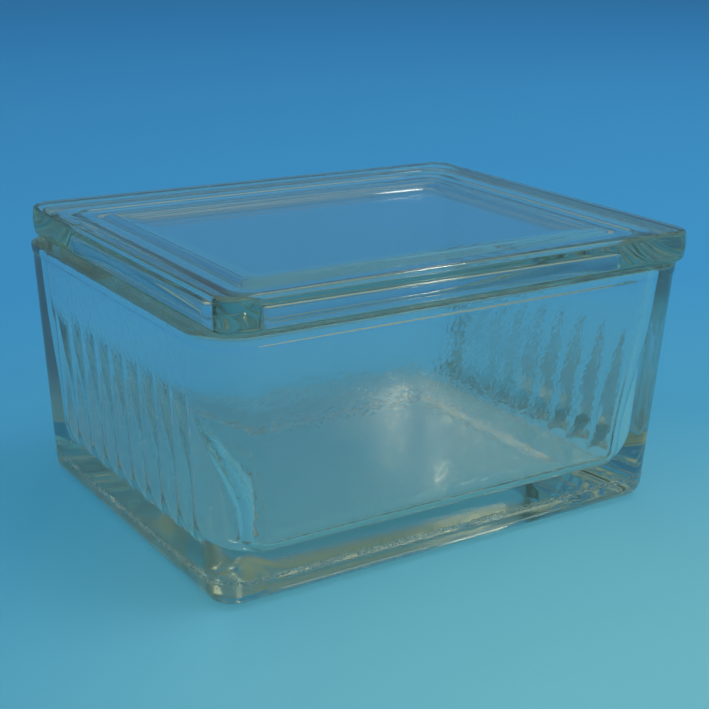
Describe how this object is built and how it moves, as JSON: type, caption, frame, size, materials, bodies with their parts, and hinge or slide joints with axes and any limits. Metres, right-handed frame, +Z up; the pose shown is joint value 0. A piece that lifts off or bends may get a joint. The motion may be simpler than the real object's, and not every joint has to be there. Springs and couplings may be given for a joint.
{
  "type": "slide staining jar",
  "caption": "Rectangular pressed glass trough with grooved end walls that hold microscope slides on edge, and a loose glass lid.",
  "frame": {"origin": "middle of the jar's flat underside", "axes": "+Z up out of the mouth, +X along the jar from one grooved end wall to the other, +Y across it"},
  "size_m": [0.089, 0.0701, 0.0471],
  "materials": {
    "jar_glass": "clear pressed soda-lime glass, slightly rippled, faint grey-green tint",
    "lid_glass": "clear pressed soda-lime glass, fire-polished edges, faint grey-green tint"
  },
  "bodies": {
    "root": {"jar": "jar_glass", "lid": "lid_glass"}
  },
  "joints": []
}
